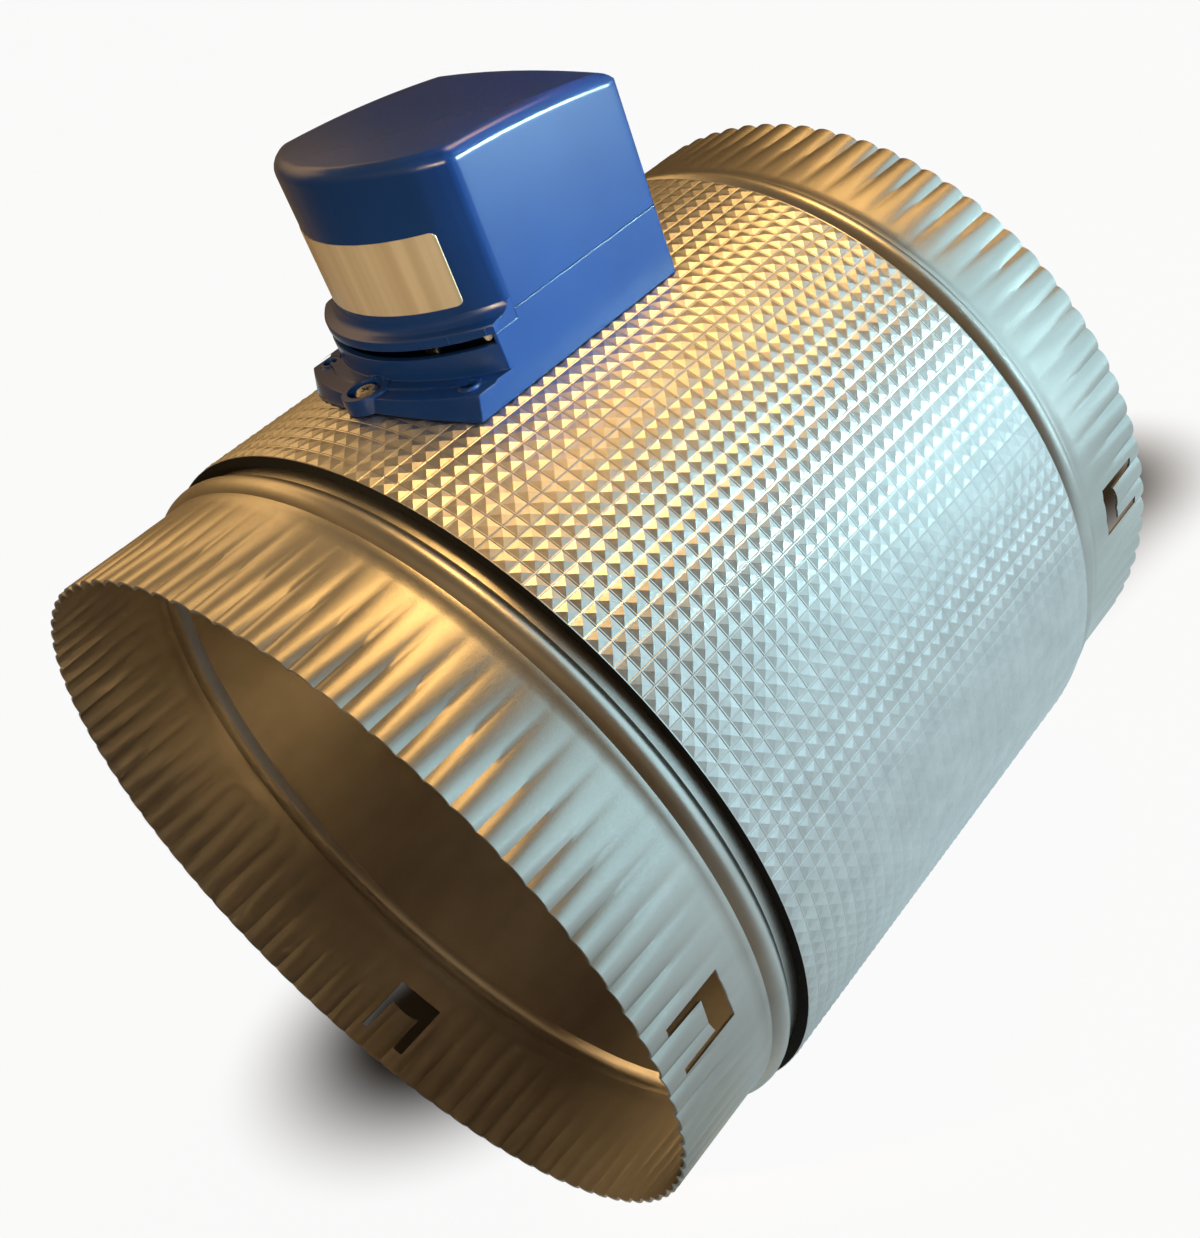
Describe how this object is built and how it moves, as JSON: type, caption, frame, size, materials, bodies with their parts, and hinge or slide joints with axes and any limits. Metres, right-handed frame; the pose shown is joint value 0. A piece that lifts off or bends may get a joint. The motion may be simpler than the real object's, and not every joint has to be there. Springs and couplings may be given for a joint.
{
  "type": "motorized zone damper",
  "caption": "Round crimped steel duct section with rolled beads and foil-faced foam insulation; a geared actuator on top turns the round blade inside.",
  "frame": {"origin": "centre of the inlet rim, on the duct axis", "axes": "+X along the duct to the outlet rim, +Z from the duct axis up the blade's shaft to the actuator, +Y across the duct"},
  "size_m": [0.2794, 0.2632, 0.326],
  "materials": {
    "galvanised": "satin galvanised sheet",
    "foam": "matt black closed-cell foam",
    "foil": "embossed aluminium facing",
    "nylon": "natural nylon",
    "steel": "zinc plated",
    "seal_rubber": "matt",
    "rivet_aluminium": "plain",
    "black_plastic": "matt",
    "white_plastic": "gloss",
    "gear_brass": "machined",
    "board_green": "solder resist",
    "terminal_green": "moulded",
    "blue_plastic": "glossy moulded",
    "label": "bare silver film",
    "grommet_rubber": "matt"
  },
  "bodies": {
    "housing": {"duct_tube": "galvanised", "insulation_foam": "foam", "foil_facing": "foil", "upper_bushing": "nylon", "lower_bushing": "nylon", "idler_pin": "steel", "motor_can": "steel", "gear_plate": "galvanised", "plate_posts": "gear_brass", "plate_screws": "steel", "board_posts": "gear_brass", "circuit_board": "board_green", "terminal_block": "terminal_green", "end_switches": "black_plastic", "actuator_base": "blue_plastic", "actuator_cover": "blue_plastic", "cover_label": "label", "lug_screw": "steel", "base_screws": "steel", "wire_grommet": "grommet_rubber"},
    "blade_assembly": {"blade_shaft": "steel", "shaft_retainer": "steel", "blade_plate_front": "galvanised", "blade_seal": "seal_rubber", "blade_plate_back": "galvanised", "blade_straps": "galvanised", "blade_bolts": "steel", "blade_nuts": "steel", "blade_rivets": "rivet_aluminium", "drive_hub": "nylon", "hub_set_screw": "steel", "switch_cam": "black_plastic", "pointer_arm": "white_plastic", "pointer_tip": "white_plastic", "output_gear": "nylon"},
    "idler": {"idler_pinion": "gear_brass", "idler_wheel": "nylon"},
    "motor_rotor": {"motor_pinion": "gear_brass", "motor_shaft": "steel"}
  },
  "joints": [
    {"name": "blade_hinge", "type": "hinge", "parent": "housing", "child": "blade_assembly", "pos_m": [0.1397, 0, 0], "axis": [0, 0, -1], "range_deg": [0, 90]},
    {"name": "idler_spin", "type": "hinge", "parent": "housing", "child": "idler", "pos_m": [0.15752, 0.01782, 0.15], "axis": [0, 0, -1], "range_deg": [-330, 0]},
    {"name": "motor_spin", "type": "hinge", "parent": "housing", "child": "motor_rotor", "pos_m": [0.16076, 0.00379, 0.155], "axis": [0, 0, -1], "range_deg": [0, 990]}
  ],
  "couplings": [
    {"joint": "idler_spin", "follows": "blade_hinge", "ratio": -3.6667},
    {"joint": "motor_spin", "follows": "blade_hinge", "ratio": 11}
  ]
}
